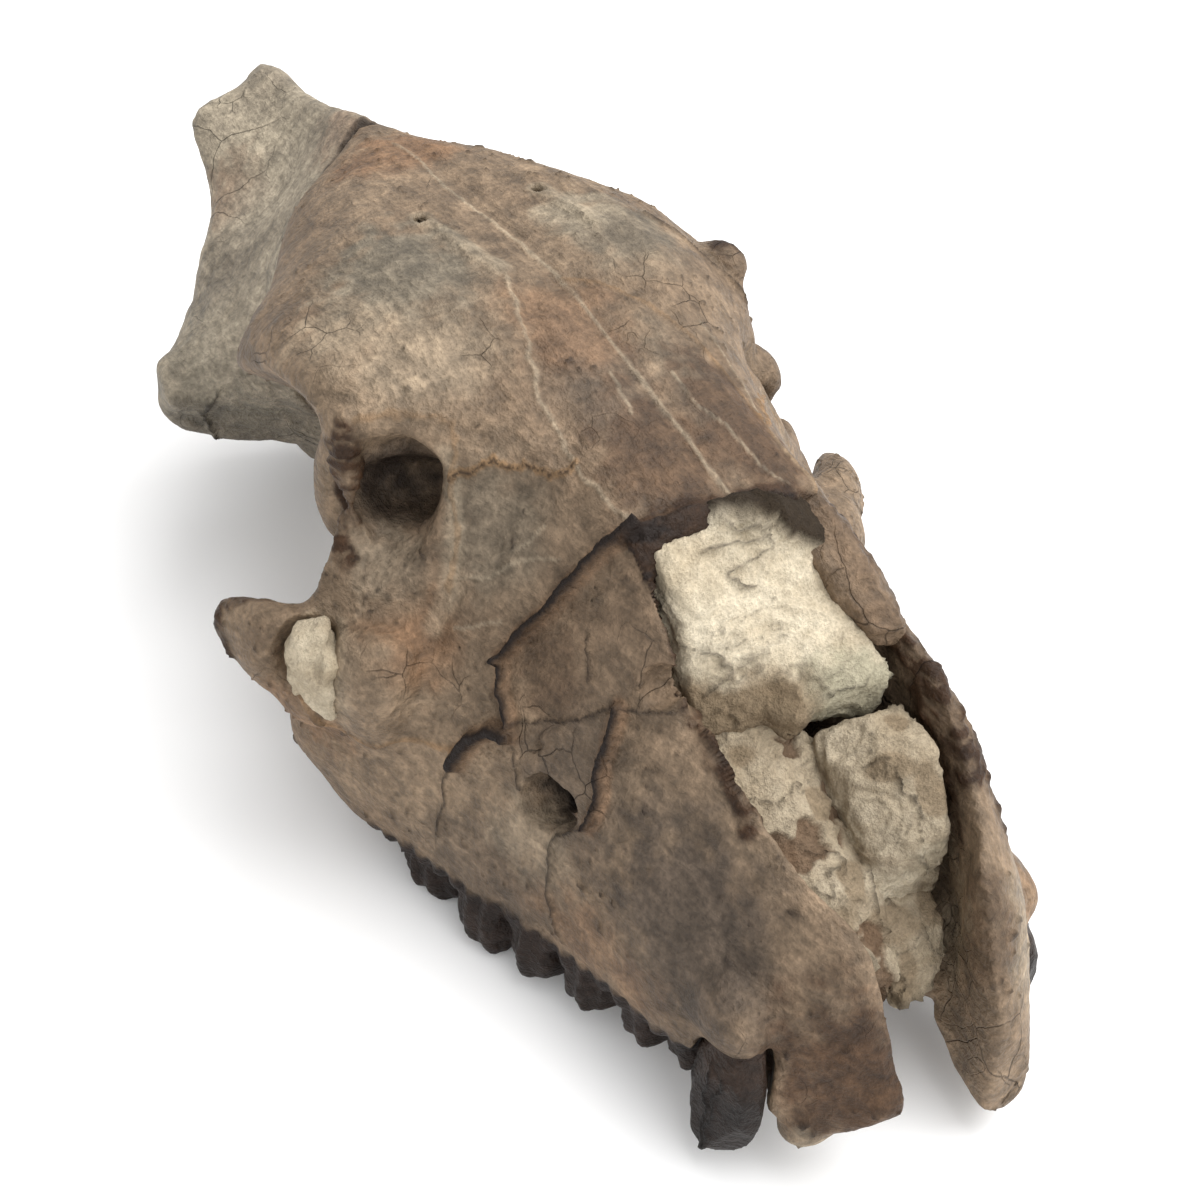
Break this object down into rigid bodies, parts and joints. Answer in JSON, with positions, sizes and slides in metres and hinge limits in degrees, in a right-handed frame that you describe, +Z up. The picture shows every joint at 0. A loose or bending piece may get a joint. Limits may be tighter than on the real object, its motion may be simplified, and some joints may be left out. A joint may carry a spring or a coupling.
{
  "type": "fossil skull",
  "caption": "Fossil skull of an oreodont without its lower jaw, with cheek teeth, broken cheek arches, parted snout tips and rock filling the open nose.",
  "frame": {"origin": "centre of the footprint, on the surface the skull stands on", "axes": "+Y from the snout to the nape along the length, +X to the animal's left, +Z up"},
  "size_m": [0.101, 0.2016, 0.076],
  "materials": {
    "bone_brown": "mineralised bone, dull satin, brown with orange stains",
    "bone_grey": "mineralised bone, smooth satin, grey",
    "tooth": "fossil enamel, satin, near black",
    "rock": "siltstone, matt, pale beige grey"
  },
  "bodies": {
    "root": {"braincase": "bone_grey", "occipital": "bone_grey", "temporal_right": "bone_grey", "temporal_left": "bone_grey", "sphenoid": "bone_brown", "frontal_right": "bone_brown", "frontal_left": "bone_brown", "nasal_right": "bone_brown", "nasal_left": "bone_brown", "nasal_strip": "bone_brown", "lacrimal_right": "bone_brown", "lacrimal_left": "bone_brown", "jugal_right": "bone_brown", "jugal_left": "bone_brown", "maxilla_right": "bone_brown", "maxilla_left": "bone_brown", "premaxilla_right": "bone_brown", "premaxilla_left": "bone_brown", "canine_right": "tooth", "canine_left": "tooth", "matrix_upper": "rock", "matrix_lower_right": "rock", "matrix_lower_left": "rock", "matrix_front": "rock", "matrix_patch": "rock"}
  },
  "joints": []
}
